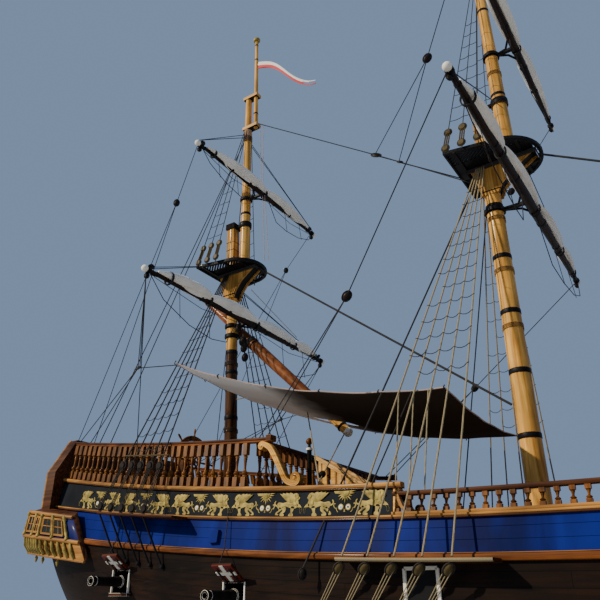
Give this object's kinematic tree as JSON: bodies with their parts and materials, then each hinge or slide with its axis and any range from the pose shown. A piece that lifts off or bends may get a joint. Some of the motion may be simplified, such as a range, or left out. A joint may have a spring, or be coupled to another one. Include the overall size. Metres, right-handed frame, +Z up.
{
  "type": "three-masted sailing ship of an old pattern",
  "caption": "Wooden sailing ship afloat: hull with friezes, balustraded quarterdeck, masts, yards with furled sails, lateen spar, awning, shrouds and bowsprit.",
  "frame": {"origin": "amidships on the centreline, on the waterline", "axes": "+X to the bow, +Y to port, +Z up"},
  "size_m": [35.2755, 9.98, 25.9016],
  "materials": {
    "hull_brown_wood": "satin, tarred",
    "deck_wood": "bare, scrubbed",
    "varnished_wood": "varnished",
    "mast_wood": "varnished",
    "blue_paint": "gloss paint",
    "black_paint": "satin paint",
    "black_iron": "satin paint",
    "gold": "gilt",
    "red_paint": "satin paint",
    "white_paint": "gloss paint",
    "canvas": "weathered",
    "pennant_cloth": "woven",
    "tarred_rope": "tarred",
    "glass": "clear"
  },
  "bodies": {
    "root": {"hull_lower": "hull_brown_wood", "main_wale": "varnished_wood", "blue_strake": "blue_paint", "sheer_rail": "varnished_wood", "waist_rail_starboard": "varnished_wood", "waist_rail_port": "varnished_wood", "frieze_starboard": "black_paint", "frieze_port": "black_paint", "forecastle_bulwark": "black_paint", "quarterdeck": "deck_wood", "forecastle": "deck_wood", "backbone": "hull_brown_wood", "stern_gallery": "varnished_wood", "beakhead": "gold", "balustrade_starboard": "varnished_wood", "balustrade_port": "varnished_wood", "balustrade_front": "varnished_wood", "scroll_starboard": "gold", "scroll_port": "gold", "ladder": "deck_wood", "wheel_stand": "varnished_wood", "hatch_grating": "deck_wood", "mooring_bitts": "varnished_wood", "mizzen_lower_mast": "mast_wood", "mizzen_top": "black_iron", "mizzen_topmast": "mast_wood", "main_lower_mast": "mast_wood", "main_top": "black_iron", "main_topmast": "mast_wood", "fore_lower_mast": "mast_wood", "fore_top": "black_iron", "fore_topmast": "mast_wood", "bowsprit": "mast_wood", "mizzen_rigging": "tarred_rope", "main_rigging": "tarred_rope", "fore_rigging": "tarred_rope", "awning": "canvas", "pennant": "pennant_cloth"},
    "rudder": {"rudder": "hull_brown_wood"},
    "wheel": {"steering_wheel": "varnished_wood"},
    "capstan": {"capstan": "varnished_wood"},
    "crossjack": {"crossjack_yard": "mast_wood", "crossjack_sail": "canvas"},
    "mizzen_topsail": {"mizzen_topsail_yard": "mast_wood", "mizzen_topsail_sail": "canvas"},
    "main": {"main_yard": "mast_wood", "main_sail": "canvas"},
    "main_topsail": {"main_topsail_yard": "mast_wood", "main_topsail_sail": "canvas"},
    "fore": {"fore_yard": "mast_wood", "fore_sail": "canvas"},
    "fore_topsail": {"fore_topsail_yard": "mast_wood", "fore_topsail_sail": "canvas"},
    "lateen": {"lateen_yard": "varnished_wood"},
    "lid_starboard_1": {"port_lid_starboard_1": "red_paint"},
    "lid_port_1": {"port_lid_port_1": "red_paint"},
    "lid_starboard_2": {"port_lid_starboard_2": "red_paint"},
    "lid_port_2": {"port_lid_port_2": "red_paint"}
  },
  "joints": [
    {"name": "rudder_turn", "type": "hinge", "parent": "root", "child": "rudder", "pos_m": [-13, 0, 0], "axis": [0, 0, 1], "range_deg": [-35, 35]},
    {"name": "wheel_turn", "type": "hinge", "parent": "root", "child": "wheel", "pos_m": [-10.25, 0, 5.39], "axis": [1, 0, 0], "range_deg": [-352, 352]},
    {"name": "capstan_turn", "type": "hinge", "parent": "root", "child": "capstan", "pos_m": [3.9, 0, 2.44], "axis": [0, 0, 1], "continuous": true},
    {"name": "crossjack_brace", "type": "hinge", "parent": "root", "child": "crossjack", "pos_m": [-9.0798, 0, 9.11], "axis": [-0.0443, 0, 0.999], "range_deg": [-15, 15]},
    {"name": "mizzen_topsail_brace", "type": "hinge", "parent": "root", "child": "mizzen_topsail", "pos_m": [-8.7526, 0, 13.39], "axis": [-0.017, 0, 0.9999], "range_deg": [-30, 30]},
    {"name": "main_brace", "type": "hinge", "parent": "root", "child": "main", "pos_m": [-1.18, 0, 10.2], "axis": [0, 0, 1], "range_deg": [-20, 20]},
    {"name": "main_topsail_brace", "type": "hinge", "parent": "root", "child": "main_topsail", "pos_m": [-0.6765, 0, 14.8], "axis": [-0.0051, 0, 1], "range_deg": [-30, 30]},
    {"name": "fore_brace", "type": "hinge", "parent": "root", "child": "fore", "pos_m": [9.0411, 0, 9.7], "axis": [0.0063, 0, 1], "range_deg": [-20, 20]},
    {"name": "fore_topsail_brace", "type": "hinge", "parent": "root", "child": "fore_topsail", "pos_m": [9.5681, 0, 14], "axis": [0.0028, 0, 1], "range_deg": [-30, 30]},
    {"name": "lateen_swing", "type": "hinge", "parent": "root", "child": "lateen", "pos_m": [-9.066, 0, 8.8], "axis": [-0.0443, 0, 0.999], "range_deg": [-1.5, 1.5]},
    {"name": "lid_starboard_1_hinge", "type": "hinge", "parent": "root", "child": "lid_starboard_1", "pos_m": [-9.37, -2.9294, 2.532], "axis": [1, 0, 0], "range_deg": [0, 45]},
    {"name": "lid_port_1_hinge", "type": "hinge", "parent": "root", "child": "lid_port_1", "pos_m": [-9.37, 2.9294, 2.532], "axis": [-1, 0, 0], "range_deg": [0, 45]},
    {"name": "lid_starboard_2_hinge", "type": "hinge", "parent": "root", "child": "lid_starboard_2", "pos_m": [-6.02, -3.2149, 2.2541], "axis": [1, 0, 0], "range_deg": [0, 45]},
    {"name": "lid_port_2_hinge", "type": "hinge", "parent": "root", "child": "lid_port_2", "pos_m": [-6.02, 3.2149, 2.2541], "axis": [-1, 0, 0], "range_deg": [0, 45]}
  ],
  "couplings": [
    {"joint": "wheel_turn", "follows": "rudder_turn", "ratio": 10}
  ]
}
